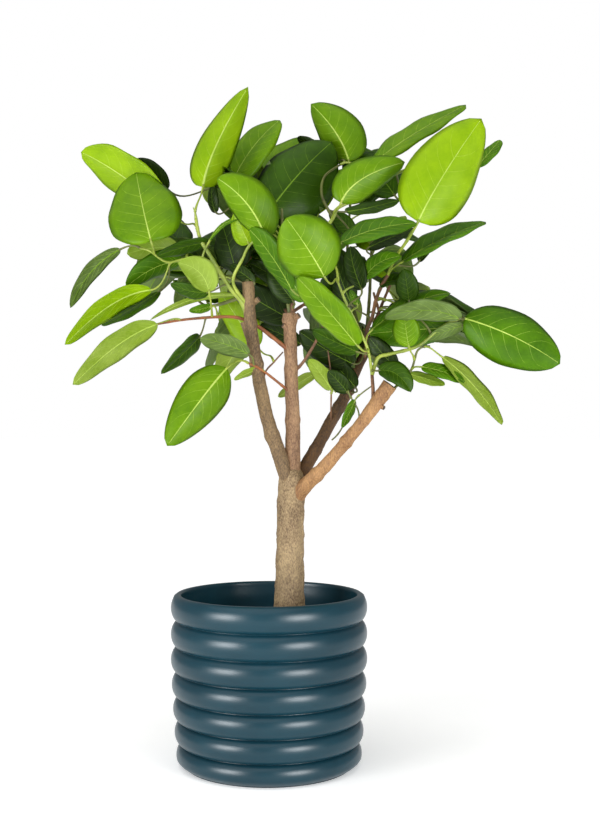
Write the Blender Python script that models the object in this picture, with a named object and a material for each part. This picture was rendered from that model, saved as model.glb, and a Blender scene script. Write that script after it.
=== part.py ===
# Potted banyan tree: a ribbed glazed pot, its soil, a single trunk that forks into
# four lopped boughs, and the masses of broad leaves that grow from them.
#
# Metres, +Z up. The origin is the centre of the pot's flat underside. The side that
# the picture shows faces -Y, and its right-hand side is +X.

import math

import bmesh
import bpy
from mathutils import Matrix, Vector, noise

# Touching pieces keep this gap.
GAP = 0.0003

# The pot: seven rounded rings, each lower one a little lower in height, the last ones
# a little slimmer.
POT_RADIUS = 0.150
POT_HEIGHT = 0.260
RING_COUNT = 7
RING_SHRINK = 0.025
STRAIGHT_RINGS = 3
FOOT_TAPER = 0.055
GROOVE_DEPTH = 0.0085
RING_STEPS = 4
LIP_INNER_RADIUS = 0.1345
INNER_FLOOR_RADIUS = 0.122
INNER_FLOOR_ROUND = 0.014
INNER_WALL_CURVE = 0.6
FLOOR_THICKNESS = 0.010
FOOT_RADIUS = 0.128
POT_SEGMENTS = 26

# The soil lies this far below the rim.
SOIL_DEPTH = 0.050

# Limbs are drawn with this many sides, and this many steps between two of their points.
LIMB_SIDES = 8
STEPS_PER_SPAN = 2

# The trunk's axis, from the soil (no height given) to the head that the boughs leave,
# and its radius at each of those points.
TRUNK_PATH = ((0.031, 0.000, None), (0.031, 0.000, 0.245), (0.032, 0.000, 0.330),
              (0.033, 0.000, 0.402), (0.0345, 0.001, 0.437))
TRUNK_RADII = (0.0275, 0.0232, 0.0210, 0.0205, 0.0195)

# Each bough is one tapering limb: its axis from inside the trunk's head to its end
# inside a mass of leaves, and its radius at both ends. "stops" names the pieces that
# it ends on.
BOUGHS = {
    "bough_middle": {
        "path": ((0.035, 0.000, 0.415), (0.036, 0.000, 0.525), (0.034, -0.005, 0.586),
                 (0.032, -0.010, 0.662), (0.031, -0.012, 0.765)),
        "radii": (0.0112, 0.0092),
        "stops": ("trunk", "leaves_heart", "leaves_heart_low"),
    },
    "bough_left": {
        "path": ((0.034, -0.002, 0.418), (0.013, -0.010, 0.479), (-0.002, -0.015, 0.525),
                 (-0.015, -0.020, 0.586), (-0.027, -0.030, 0.668), (-0.030, -0.034, 0.765)),
        "radii": (0.0110, 0.0086),
        "stops": ("trunk", "bough_middle", "leaves_heart", "leaves_inner_left", "leaves_heart_low"),
    },
    "bough_right": {
        "path": ((0.034, -0.003, 0.402), (0.074, -0.030, 0.444), (0.097, -0.040, 0.470),
                 (0.139, -0.055, 0.521), (0.182, -0.062, 0.590)),
        "radii": (0.0105, 0.0086),
        "stops": ("trunk", "bough_middle", "leaves_low_right"),
    },
    "bough_rear": {
        "path": ((0.036, 0.003, 0.420), (0.070, 0.020, 0.477), (0.096, 0.035, 0.523),
                 (0.120, 0.050, 0.566), (0.134, 0.055, 0.608)),
        "radii": (0.0105, 0.0088),
        "stops": ("trunk", "bough_middle", "bough_right", "leaves_low_centre"),
    },
}

# Each mass of leaves: its centre, half sizes along its own X, Y and Z, the roll of
# those axes about Y in degrees, and the tips that its longest leaves reach. A slim one
# stands for a single leaf or two, and has fewer facets.
MASSES = {
    "leaves_heart": {
        "centre": (0.030, -0.005, 0.822), "half": (0.088, 0.105, 0.078),
    },
    "leaves_heart_low": {
        "centre": (-0.012, 0.080, 0.690), "half": (0.060, 0.060, 0.052),
    },
    "leaves_top_left": {
        "centre": (-0.073, -0.020, 0.925), "half": (0.038, 0.055, 0.062),
        "tips": ((-0.033, -0.020, 1.034), (-0.055, -0.010, 1.018), (-0.113, -0.040, 0.912)),
    },
    "leaves_top_middle": {
        "centre": (-0.015, 0.000, 0.905), "half": (0.060, 0.034, 0.022), "roll": -60,
        "tips": ((0.015, 0.000, 0.986),), "slim": True,
    },
    "leaves_top_centre": {
        "centre": (0.088, 0.000, 0.925), "half": (0.062, 0.070, 0.062), "roll": 14,
        "tips": ((0.064, -0.020, 1.006), (0.125, 0.010, 0.994)),
    },
    "leaves_upper_right": {
        "centre": (0.184, -0.010, 0.905), "half": (0.054, 0.070, 0.040), "roll": -20,
    },
    "leaves_upper_far": {
        "centre": (0.232, 0.052, 0.973), "half": (0.075, 0.024, 0.022), "roll": -31,
        "tips": ((0.308, 0.040, 1.016),), "slim": True,
    },
    "leaves_right_lobe": {
        "centre": (0.268, -0.030, 0.902), "half": (0.050, 0.050, 0.066), "roll": 34,
        "tips": ((0.322, -0.030, 0.984), (0.357, 0.020, 0.957), (0.231, -0.060, 0.817)),
    },
    "leaves_right_middle": {
        "centre": (0.226, -0.020, 0.800), "half": (0.080, 0.080, 0.028), "roll": -15,
        "tips": ((0.333, -0.030, 0.830),),
    },
    "leaves_right_low": {
        "centre": (0.212, -0.010, 0.674), "half": (0.066, 0.072, 0.036), "roll": -10,
        "tips": ((0.275, -0.020, 0.718), (0.289, -0.040, 0.680), (0.222, 0.000, 0.742)),
    },
    "leaves_far_right": {
        "centre": (0.362, -0.040, 0.651), "half": (0.070, 0.016, 0.036), "roll": 24,
        "tips": ((0.437, -0.050, 0.607), (0.288, -0.036, 0.682)),
    },
    "leaves_right_hanging": {
        "centre": (0.304, -0.047, 0.584), "half": (0.056, 0.018, 0.012), "roll": 50,
        "tips": ((0.349, -0.060, 0.516), (0.248, -0.030, 0.640)), "slim": True,
    },
    "leaves_upper_left": {
        "centre": (-0.196, -0.010, 0.858), "half": (0.052, 0.055, 0.064), "roll": -6,
        "tips": ((-0.291, 0.000, 0.938), (-0.255, 0.000, 0.950), (-0.128, -0.030, 0.842)),
    },
    "leaves_left_middle": {
        "centre": (-0.176, 0.000, 0.762), "half": (0.056, 0.065, 0.038), "roll": -12,
    },
    "leaves_far_left": {
        "centre": (-0.270, 0.020, 0.757), "half": (0.055, 0.012, 0.011), "roll": -49,
        "tips": ((-0.310, 0.020, 0.697), (-0.218, 0.004, 0.792)), "slim": True,
    },
    "leaves_left_long": {
        "centre": (-0.242, -0.030, 0.694), "half": (0.068, 0.016, 0.014), "roll": -32,
        "tips": ((-0.308, -0.030, 0.637), (-0.166, -0.020, 0.722)), "slim": True,
    },
    "leaves_left_low": {
        "centre": (-0.238, -0.010, 0.628), "half": (0.068, 0.018, 0.015), "roll": -36,
        "tips": ((-0.297, -0.020, 0.577), (-0.160, -0.004, 0.676)), "slim": True,
    },
    "leaves_left_hook": {
        "centre": (-0.136, -0.020, 0.627), "half": (0.036, 0.015, 0.011), "roll": -44,
        "tips": ((-0.164, -0.022, 0.594), (-0.105, -0.016, 0.655)), "slim": True,
    },
    "leaves_low_left": {
        "centre": (-0.108, -0.050, 0.548), "half": (0.032, 0.022, 0.060), "roll": 36,
        "tips": ((-0.150, -0.070, 0.486), (-0.052, -0.024, 0.630)), "slim": True,
    },
    "leaves_inner_left": {
        "centre": (-0.090, 0.010, 0.700), "half": (0.064, 0.075, 0.046), "roll": -8,
        "tips": ((-0.045, 0.000, 0.628),),
    },
    "leaves_low_centre": {
        "centre": (0.106, 0.036, 0.632), "half": (0.050, 0.060, 0.044),
        "tips": ((0.111, 0.000, 0.513), (0.020, 0.055, 0.565)),
    },
    "leaves_low_right": {
        "centre": (0.170, -0.025, 0.606), "half": (0.040, 0.050, 0.034),
        "tips": ((0.213, -0.050, 0.566), (0.268, -0.020, 0.580)), "slim": True,
    },
    "leaves_back_top": {
        "centre": (-0.002, 0.140, 0.905), "half": (0.092, 0.090, 0.070),
        "tips": ((-0.072, 0.245, 0.985), (0.085, 0.240, 0.955)),
    },
    "leaves_back_left": {
        "centre": (-0.130, 0.145, 0.805), "half": (0.088, 0.085, 0.058), "roll": 10,
        "tips": ((-0.215, 0.250, 0.850), (-0.254, 0.170, 0.789)),
    },
    "leaves_back_right": {
        "centre": (0.165, 0.140, 0.832), "half": (0.092, 0.090, 0.062), "roll": -10,
        "tips": ((0.262, 0.245, 0.895), (0.290, 0.170, 0.826)),
    },
    "leaves_back_low": {
        "centre": (0.080, 0.145, 0.700), "half": (0.088, 0.082, 0.050),
        "tips": ((0.134, 0.240, 0.646), (-0.021, 0.225, 0.668)),
    },
    "leaves_front_centre": {
        "centre": (0.052, -0.150, 0.768), "half": (0.072, 0.064, 0.056),
        "tips": ((0.034, -0.245, 0.787), (0.090, -0.220, 0.701)),
    },
    "leaves_front_left": {
        "centre": (-0.085, -0.125, 0.790), "half": (0.066, 0.060, 0.052), "roll": -12,
        "tips": ((-0.144, -0.200, 0.751), (-0.100, -0.232, 0.742)),
    },
    "leaves_front_right": {
        "centre": (0.158, -0.125, 0.792), "half": (0.058, 0.056, 0.042),
        "tips": ((0.165, -0.225, 0.802), (0.129, -0.200, 0.730)),
    },
}

# Masses whose twigs run on from one to the next reach each other halfway.
JOINED_MASSES = (
    ("leaves_left_middle", "leaves_inner_left"),
    ("leaves_far_left", "leaves_left_middle"),
    ("leaves_left_long", "leaves_left_middle"),
    ("leaves_left_low", "leaves_left_hook"),
    ("leaves_left_hook", "leaves_inner_left"),
    ("leaves_low_left", "leaves_left_hook"),
    ("leaves_front_left", "leaves_heart"),
    ("leaves_back_left", "leaves_back_top"),
    ("leaves_back_right", "leaves_back_top"),
    ("leaves_upper_far", "leaves_upper_right"),
    ("leaves_right_low", "leaves_low_right"),
    ("leaves_far_right", "leaves_right_low"),
    ("leaves_right_hanging", "leaves_right_low"),
)

# How the masses' surfaces are made: facets, the depth and spacing of their hollows,
# and how wide the base of a tip is, in radians.
MASS_SUBDIVISIONS = 3
SLIM_MASS_SUBDIVISIONS = 2
UNEVENNESS = 0.32
UNEVENNESS_SCALE = 2.1
UNEVENNESS_SHIFT = Vector((7.3, 1.7, 3.1))
TIP_SPREAD = 0.30

# Edges that turn by more than this stay sharp.
SHARP_ANGLE = math.radians(40)

# Base colour, roughness and metallic value of each finish.
FINISHES = {
    "glaze": ((0.017, 0.090, 0.125, 1.0), 0.42, 0.0),
    "soil": ((0.050, 0.032, 0.020, 1.0), 0.95, 0.0),
    "bark": ((0.300, 0.205, 0.120, 1.0), 0.80, 0.0),
    "leaf": ((0.130, 0.300, 0.020, 1.0), 0.45, 0.0),
}


def clear_scene():
    for thing in list(bpy.data.objects):
        bpy.data.objects.remove(thing, do_unlink=True)


def finish_material(finish):
    material = bpy.data.materials.get(finish)
    if material is None:
        colour, roughness, metallic = FINISHES[finish]
        material = bpy.data.materials.new(finish)
        material.use_nodes = True
        shader = material.node_tree.nodes["Principled BSDF"]
        shader.inputs["Base Color"].default_value = colour
        shader.inputs["Roughness"].default_value = roughness
        shader.inputs["Metallic"].default_value = metallic
    return material


def make_object(name, work_mesh, finish):
    bmesh.ops.recalc_face_normals(work_mesh, faces=work_mesh.faces[:])
    mesh = bpy.data.meshes.new(name)
    work_mesh.to_mesh(mesh)
    work_mesh.free()
    mesh.shade_smooth()
    mesh.set_sharp_from_angle(angle=SHARP_ANGLE)
    mesh.materials.append(finish_material(finish))
    thing = bpy.data.objects.new(name, mesh)
    bpy.context.scene.collection.objects.link(thing)
    return thing


def cut_with(thing, cutter):
    cutter.hide_render = True
    cutter.display_type = "WIRE"
    cut = thing.modifiers.new("cut by " + cutter.name, "BOOLEAN")
    cut.operation = "DIFFERENCE"
    cut.solver = "EXACT"
    cut.object = cutter


def turned(name, profile, finish, segments=POT_SEGMENTS):
    # A closed solid turned about Z from (radius, height) points that begin and end
    # on the axis.
    work = bmesh.new()
    rings = []
    for radius, height in profile:
        if radius == 0:
            rings.append([work.verts.new((0, 0, height))])
            continue
        ring = []
        for step in range(segments):
            turn = math.tau * step / segments
            ring.append(work.verts.new((radius * math.cos(turn), radius * math.sin(turn), height)))
        rings.append(ring)
    for lower, upper in zip(rings, rings[1:]):
        for step in range(segments):
            after = (step + 1) % segments
            corners = [lower[step % len(lower)], lower[after % len(lower)],
                       upper[after % len(upper)], upper[step % len(upper)]]
            work.faces.new(list(dict.fromkeys(corners)))
    return make_object(name, work, finish)


def ring_levels():
    # Heights of the grooves between the rings, from the foot up to the rim.
    heights = [1 - RING_SHRINK * index for index in range(RING_COUNT)]
    scale = POT_HEIGHT / sum(heights)
    level = 0
    levels = [level]
    for height in reversed(heights):
        level += height * scale
        levels.append(level)
    return levels


def ring_radius(index):
    # Index 0 is the lowest ring.
    tapering = RING_COUNT - STRAIGHT_RINGS
    return POT_RADIUS * (1 - FOOT_TAPER * max(0, tapering - index) / tapering)


def inner_radius(height):
    share = (height - FLOOR_THICKNESS) / (POT_HEIGHT - FLOOR_THICKNESS)
    return INNER_FLOOR_RADIUS + (LIP_INNER_RADIUS - INNER_FLOOR_RADIUS) * share ** INNER_WALL_CURVE


def pot_profile():
    profile = [(0, 0), (FOOT_RADIUS, 0)]
    levels = ring_levels()
    for index in range(RING_COUNT):
        low, high = levels[index], levels[index + 1]
        middle, reach = (low + high) / 2, (high - low) / 2
        widest = ring_radius(index)
        for step in range(1, RING_STEPS + 1):
            turn = math.pi * (step / RING_STEPS - 0.5)
            radius = widest - GROOVE_DEPTH * (1 - math.cos(turn))
            profile.append((radius, middle + reach * math.sin(turn)))
    profile[-1] = (ring_radius(RING_COUNT - 1) - GROOVE_DEPTH, POT_HEIGHT)
    profile.append((LIP_INNER_RADIUS, POT_HEIGHT))
    soil_top = POT_HEIGHT - SOIL_DEPTH
    for height in ((POT_HEIGHT + soil_top) / 2, soil_top, (soil_top + FLOOR_THICKNESS) / 2,
                   FLOOR_THICKNESS + INNER_FLOOR_ROUND):
        profile.append((inner_radius(height), height))
    profile.append((inner_radius(FLOOR_THICKNESS + INNER_FLOOR_ROUND) - INNER_FLOOR_ROUND,
                    FLOOR_THICKNESS))
    profile.append((0, FLOOR_THICKNESS))
    return profile


def soil_profile():
    # The fill follows the pot's inner wall, one gap inside it.
    top = POT_HEIGHT - SOIL_DEPTH
    low = FLOOR_THICKNESS + INNER_FLOOR_ROUND
    half = (top + FLOOR_THICKNESS) / 2
    return [(0, FLOOR_THICKNESS + GAP),
            (inner_radius(low) - INNER_FLOOR_ROUND - GAP, FLOOR_THICKNESS + GAP),
            (inner_radius(low) - 2 * GAP, low + GAP),
            (inner_radius(half) - 2 * GAP, half),
            (inner_radius(top) - 2 * GAP, top),
            (0, top)]


def smooth_path(points):
    # A curve through the points, with a few places worked out between each two.
    points = [Vector(point) for point in points]
    padded = [2 * points[0] - points[1]] + points + [2 * points[-1] - points[-2]]
    places = []
    for index in range(1, len(padded) - 2):
        before, start, end, after = padded[index - 1:index + 3]
        for step in range(STEPS_PER_SPAN):
            t = step / STEPS_PER_SPAN
            places.append(0.5 * (2 * start + (end - before) * t
                                 + (2 * before - 5 * start + 4 * end - after) * t ** 2
                                 + (3 * start - before - 3 * end + after) * t ** 3))
    places.append(points[-1])
    return places


def limb(name, points, radii, grow=0.0):
    # A tapering round limb. radii has one value for each point, or the two ends' values.
    places = smooth_path(points)
    last = len(places) - 1
    work = bmesh.new()
    rings = []
    side = Vector((1, 0, 0))
    for index, place in enumerate(places):
        along = (places[min(index + 1, last)] - places[max(index - 1, 0)]).normalized()
        side = (side - side.dot(along) * along).normalized()
        other = along.cross(side)
        spot = index / last * (len(radii) - 1)
        near = min(int(spot), len(radii) - 2)
        radius = radii[near] + (radii[near + 1] - radii[near]) * (spot - near) + grow
        if index in (0, last):
            place = place + along * (grow if index else -grow)
        ring = []
        for step in range(LIMB_SIDES):
            turn = math.tau * step / LIMB_SIDES
            ring.append(work.verts.new(place + radius * (math.cos(turn) * side + math.sin(turn) * other)))
        rings.append(ring)
    for lower, upper in zip(rings, rings[1:]):
        for step in range(LIMB_SIDES):
            after = (step + 1) % LIMB_SIDES
            work.faces.new((lower[step], lower[after], upper[after], upper[step]))
    work.faces.new(list(reversed(rings[0])))
    work.faces.new(rings[-1])
    return make_object(name, work, "bark")


def mass_turn(mass):
    return Matrix.Rotation(math.radians(mass.get("roll", 0)), 3, "Y")


def mass_support(mass, direction):
    # How far the mass's ellipsoid reaches along a direction.
    own = mass_turn(mass).transposed() @ direction
    return math.sqrt(sum((half * part) ** 2 for half, part in zip(mass["half"], own)))


def mass_border(name, other_name):
    # The plane that parts two masses, as its normal and its distance from the first.
    apart = Vector(MASSES[other_name]["centre"]) - Vector(MASSES[name]["centre"])
    normal = apart.normalized()
    here = mass_support(MASSES[name], normal)
    there = mass_support(MASSES[other_name], -normal)
    return normal, apart.length * here / (here + there) - GAP / 2


def mass_reaches(name):
    # What the mass reaches from its centre: its leaf tips, and the masses it is joined to.
    centre = Vector(MASSES[name]["centre"])
    reaches = [Vector(tip) - centre for tip in MASSES[name].get("tips", ())]
    for pair in JOINED_MASSES:
        if name in pair:
            normal, distance = mass_border(name, pair[1 - pair.index(name)])
            reaches.append(normal * distance)
    return reaches


def mass_radius(mass, direction, reaches, seed):
    own = mass_turn(mass).transposed() @ direction
    plain = 1 / math.sqrt(sum((part / half) ** 2 for half, part in zip(mass["half"], own)))
    wave = noise.noise(direction * UNEVENNESS_SCALE + seed * UNEVENNESS_SHIFT)
    radius = plain * (1 + UNEVENNESS * wave)
    for reach in reaches:
        share = math.exp(-(direction.angle(reach) / TIP_SPREAD) ** 2)
        radius = max(radius, radius + (reach.length - radius) * share)
    return radius


def leaf_mass(name, grow=0.0):
    mass = MASSES[name]
    seed = list(MASSES).index(name) + 1
    centre = Vector(mass["centre"])
    work = bmesh.new()
    subdivisions = SLIM_MASS_SUBDIVISIONS if mass.get("slim") else MASS_SUBDIVISIONS
    bmesh.ops.create_icosphere(work, subdivisions=subdivisions, radius=1)
    corners = list(work.verts)
    reaches = mass_reaches(name)
    for reach in reaches:
        way = reach.normalized()
        nearest = max(corners, key=lambda corner: corner.co.dot(way))
        nearest.co = way
    borders = [mass_border(name, other) for other in MASSES if other != name]
    for corner in corners:
        direction = corner.co.normalized()
        radius = mass_radius(mass, direction, reaches, seed)
        for normal, distance in borders:
            facing = direction.dot(normal)
            if facing > 0:
                radius = min(radius, distance / facing)
        corner.co = centre + direction * (radius + grow)
    return make_object(name + " cutter" if grow else name, work, "leaf")


def build():
    clear_scene()
    turned("pot", pot_profile(), "glaze")
    turned("soil", soil_profile(), "soil")
    foot = POT_HEIGHT - SOIL_DEPTH + GAP
    trunk_path = [(x, y, foot if z is None else z) for x, y, z in TRUNK_PATH]
    limb("trunk", trunk_path, TRUNK_RADII)
    for name in MASSES:
        leaf_mass(name)
    cutters = {"trunk": limb("trunk cutter", trunk_path, TRUNK_RADII, GAP)}
    for name, bough in BOUGHS.items():
        thing = limb(name, bough["path"], bough["radii"])
        for stop in bough["stops"]:
            if stop not in cutters:
                cutters[stop] = leaf_mass(stop, GAP)
            cut_with(thing, cutters[stop])
        cutters[name] = limb(name + " cutter", bough["path"], bough["radii"], GAP)
        cutters[name].hide_render = True
        cutters[name].display_type = "WIRE"


build()
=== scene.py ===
import math
import random

import bmesh
import bpy
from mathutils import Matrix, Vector, noise


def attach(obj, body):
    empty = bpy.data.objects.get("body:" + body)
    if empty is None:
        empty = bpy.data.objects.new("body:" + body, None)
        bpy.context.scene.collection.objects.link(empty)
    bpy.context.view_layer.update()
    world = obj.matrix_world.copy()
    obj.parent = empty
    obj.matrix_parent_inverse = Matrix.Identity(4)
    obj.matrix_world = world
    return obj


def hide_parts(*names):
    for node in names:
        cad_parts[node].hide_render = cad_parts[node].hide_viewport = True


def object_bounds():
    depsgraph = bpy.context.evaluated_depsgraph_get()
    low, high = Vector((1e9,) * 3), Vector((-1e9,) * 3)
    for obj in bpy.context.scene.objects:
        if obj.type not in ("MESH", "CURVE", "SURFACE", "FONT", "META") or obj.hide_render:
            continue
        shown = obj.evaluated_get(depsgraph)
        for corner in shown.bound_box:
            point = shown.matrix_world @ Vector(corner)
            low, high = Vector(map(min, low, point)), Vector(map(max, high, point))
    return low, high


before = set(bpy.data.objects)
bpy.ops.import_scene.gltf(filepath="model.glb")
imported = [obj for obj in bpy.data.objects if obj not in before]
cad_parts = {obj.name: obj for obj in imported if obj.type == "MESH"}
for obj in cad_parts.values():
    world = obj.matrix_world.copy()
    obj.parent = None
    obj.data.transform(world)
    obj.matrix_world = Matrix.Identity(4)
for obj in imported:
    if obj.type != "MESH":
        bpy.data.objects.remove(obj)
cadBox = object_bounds()

# The photo's camera: level, looking along +Y. Depths below are metres along +Y.
photo = {
    "width": 600, "height": 840, "focal": 1207.0, "distance": 1.85, "eyeHeight": 0.525,
    "eyeSide": 0.0471, "sensorWidth": 36.0,
}


def place(u, v, depth=0.0):
    # a pixel of the photo, at a depth, as a point of the frame
    reach = (photo["distance"] + depth) / photo["focal"]
    across = photo["eyeSide"] + (u - photo["width"] / 2) * reach
    return Vector((across, depth, photo["eyeHeight"] - (v - photo["height"] / 2) * reach))


def seenAt(point):
    # where the photo's camera sees a point
    reach = (photo["distance"] + point.y) / photo["focal"]
    u = (point.x - photo["eyeSide"]) / reach + photo["width"] / 2
    return u, photo["height"] / 2 - (point.z - photo["eyeHeight"]) / reach


def colour(*channels):
    # screen values from 0 to 255, by the standard sRGB curve, as a material's linear colour
    shares = [channel / 255 for channel in channels]
    return tuple(share / 12.92 if share <= 0.04045 else ((share + 0.055) / 1.055) ** 2.4
                 for share in shares) + (1.0,)


def linked(name, data):
    made = bpy.data.objects.new(name, data)
    bpy.context.scene.collection.objects.link(made)
    return made


def newPiece(name, vertices, faces, materials, slots=None, smooth=True):
    mesh = bpy.data.meshes.new(name)
    mesh.from_pydata(vertices, [], faces)
    for material in materials:
        mesh.materials.append(material)
    if slots:
        mesh.polygons.foreach_set("material_index", slots)
    mesh.polygons.foreach_set("use_smooth", [smooth] * len(faces))
    mesh.update()
    return linked(name, mesh)


def finishPiece(piece, slot, *nodes):
    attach(piece, "root")
    if nodes:
        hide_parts(*nodes)


def newTree(name, kind, inputs, outputs):
    # a node group, its two end nodes and the identifiers of its inputs
    tree = bpy.data.node_groups.new(name, kind)
    ids = {}
    for label, socket in inputs:
        made = tree.interface.new_socket(name=label, in_out="INPUT",
                                         socket_type="NodeSocket" + socket)
        ids[label] = made.identifier
    for label, socket in outputs:
        tree.interface.new_socket(name=label, in_out="OUTPUT", socket_type="NodeSocket" + socket)
    return tree, tree.nodes.new("NodeGroupInput"), tree.nodes.new("NodeGroupOutput"), ids


def addNode(tree, kind, values=None, **traits):
    node = tree.nodes.new(kind)
    for trait, value in traits.items():
        setattr(node, trait, value)
    for socket, value in (values or {}).items():
        node.inputs[socket].default_value = value
    return node


def connect(tree, *links):
    # each link is a node, its output, the next node and its input
    for source, output, target, entry in links:
        tree.links.new(source.outputs[output], target.inputs[entry])


def newShape(name, inputs, material):
    # a Geometry Nodes tree that ends in Realize Instances and Set Material
    ends = (("Geometry", "Geometry"),)
    tree, given, result, ids = newTree(name, "GeometryNodeTree", ends + inputs, ends)
    real = addNode(tree, "GeometryNodeRealizeInstances")
    painted = addNode(tree, "GeometryNodeSetMaterial", {"Material": material})
    connect(tree, (real, "Geometry", painted, "Geometry"), (painted, "Geometry", result, "Geometry"))
    return tree, given, real, ids


def makeGrainGroup():
    # mottled colour with fine relief, used by every material
    tree, given, result = newTree(
        "naturalGrain", "ShaderNodeTree",
        (("Light", "Color"), ("Dark", "Color"), ("Patch Scale", "Float"), ("Grain Scale", "Float"),
         ("Stretch", "Vector"), ("Grain Share", "Float"), ("Rough Low", "Float"),
         ("Rough High", "Float")),
        (("Colour", "Color"), ("Roughness", "Float"), ("Height", "Float")))[:3]
    where = addNode(tree, "ShaderNodeTexCoord")
    stretched = addNode(tree, "ShaderNodeVectorMath", operation="MULTIPLY")
    patches = addNode(tree, "ShaderNodeTexNoise", {"Detail": 4.0, "Roughness": 0.6})
    grain = addNode(tree, "ShaderNodeTexNoise", {"Detail": 6.0, "Roughness": 0.65})
    both = addNode(tree, "ShaderNodeMix")
    spread = addNode(tree, "ShaderNodeMapRange", {"From Min": 0.37, "From Max": 0.61})
    mixed = addNode(tree, "ShaderNodeMix", data_type="RGBA")
    rough = addNode(tree, "ShaderNodeMapRange", {"From Min": 0.3, "From Max": 0.7})
    darkEnd, lightEnd = [k for k, socket in enumerate(mixed.inputs) if socket.type == "RGBA"]
    shade = [socket.type for socket in mixed.outputs].index("RGBA")
    connect(
        tree,
        (where, "Object", stretched, 0),
        (given, "Stretch", stretched, 1),
        (stretched, 0, patches, "Vector"),
        (given, "Patch Scale", patches, "Scale"),
        (stretched, 0, grain, "Vector"),
        (given, "Grain Scale", grain, "Scale"),
        (given, "Grain Share", both, "Factor"),
        (patches, "Fac", both, "A"),
        (grain, "Fac", both, "B"),
        (both, 0, spread, "Value"),
        (spread, 0, mixed, "Factor"),
        (given, "Dark", mixed, darkEnd),
        (given, "Light", mixed, lightEnd),
        (grain, "Fac", rough, "Value"),
        (given, "Rough Low", rough, "To Min"),
        (given, "Rough High", rough, "To Max"),
        (mixed, shade, result, "Colour"),
        (rough, 0, result, "Roughness"),
        (grain, "Fac", result, "Height"))
    return tree


grainGroup = makeGrainGroup()


def grained(name, light, dark, patch, grain, rough, bump, depth, stretch=(1, 1, 1), gloss=0.5,
            share=0.2):
    material = bpy.data.materials.new(name)
    material.use_nodes = True
    tree = material.node_tree
    shader = tree.nodes["Principled BSDF"]
    shader.inputs["Specular IOR Level"].default_value = gloss
    group = addNode(tree, "ShaderNodeGroup", {
        "Light": colour(*light), "Dark": colour(*dark), "Patch Scale": patch, "Grain Scale": grain,
        "Stretch": stretch, "Grain Share": share, "Rough Low": rough[0], "Rough High": rough[1],
    }, node_tree=grainGroup)
    relief = addNode(tree, "ShaderNodeBump", {"Strength": bump, "Distance": depth})
    connect(
        tree,
        (group, "Colour", shader, "Base Color"),
        (group, "Roughness", shader, "Roughness"),
        (group, "Height", relief, "Height"),
        (relief, "Normal", shader, "Normal"))
    return material


# light and dark patch of each blade and vein colour
leafTints = {
    "lime": ((150, 188, 8), (130, 170, 2)),
    "bright": ((112, 154, 4), (90, 134, 2)),
    "mid": ((84, 132, 2), (62, 106, 0)),
    "deep": ((58, 94, 2), (40, 70, 0)),
    "dark": ((38, 62, 4), (22, 40, 0)),
    "pale": ((158, 184, 72), (132, 162, 40)),
    "grey": ((112, 136, 72), (82, 106, 40)),
    "ribLight": ((204, 228, 112), (178, 208, 80)),
    "ribSoft": ((132, 170, 48), (104, 142, 30)),
}
# side veins are a little lighter than their own blade
for tintName in [name for name in leafTints if not name.startswith("rib")]:
    veinShare = 0.24 if tintName in ("deep", "dark") else 0.46
    leafTints[tintName + "Vein"] = tuple(
        tuple(round(own + (rib - own) * veinShare) for own, rib in zip(shade, ribShade))
        for shade, ribShade in zip(leafTints[tintName], leafTints["ribLight"]))
tintNames = list(leafTints)
lightTints = ("lime", "bright", "pale", "mid")
leafMaterials = [
    grained("leaf" + tintName[0].upper() + tintName[1:], light, dark, 22.0, 260.0, (0.38, 0.52), 0.05,
            0.0005, gloss=0.12)
    for tintName, (light, dark) in leafTints.items()]
stemMaterials = {
    "green": grained("stemGreen", (176, 192, 70), (128, 150, 40), 40, 420, (0.4, 0.6), 0.2, 0.0004),
    "olive": grained("stemOlive", (120, 128, 52), (82, 84, 34), 40, 420, (0.45, 0.65), 0.3, 0.0005),
    "brown": grained("stemBrown", (142, 96, 58), (84, 56, 34), 46, 380, (0.55, 0.8), 0.5, 0.0007),
    "rust": grained("stemRust", (176, 104, 48), (118, 66, 30), 46, 380, (0.5, 0.75), 0.4, 0.0007),
}
stemNames = list(stemMaterials)
# light and dark patch, patch and grain scale, roughness range, stretch along the limb
barkShades = {
    "trunkBark": ((200, 172, 127), (98, 71, 40), 34, 520, (0.62, 0.85), 0.55),
    "greyBark": ((164, 134, 92), (84, 62, 36), 38, 480, (0.65, 0.85), 0.5),
    "pinkBark": ((188, 148, 108), (108, 72, 44), 38, 480, (0.6, 0.85), 0.5),
    "rustBark": ((198, 150, 96), (124, 82, 42), 38, 480, (0.6, 0.85), 0.5),
    "darkBark": ((112, 78, 40), (56, 36, 16), 38, 480, (0.65, 0.9), 0.5),
}
barkMaterials = {
    name: grained(name, light, dark, patch, grain, rough, 1.0, 0.0016, share=0.62, stretch=(1, 1, along))
    for name, (light, dark, patch, grain, rough, along) in barkShades.items()}
barkMaterials["cutWood"] = grained(
    "cutWood", (120, 100, 74), (64, 48, 34), 90, 600, (0.75, 0.95), 0.6, 0.0008)
barkNames = list(barkMaterials)
glaze = grained("tealGlaze", (17, 62, 76), (13, 54, 67), 9, 640, (0.29, 0.35), 0.05, 0.0003, gloss=0.34)
soilMaterial = grained("pottingMix", (74, 54, 38), (28, 20, 14), 60, 300, (0.85, 1.0), 1.0, 0.003)
grainMaterial = grained("soilGrain", (104, 80, 58), (34, 24, 17), 180, 700, (0.8, 1.0), 0.8, 0.001)
print("materials ready")

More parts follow.
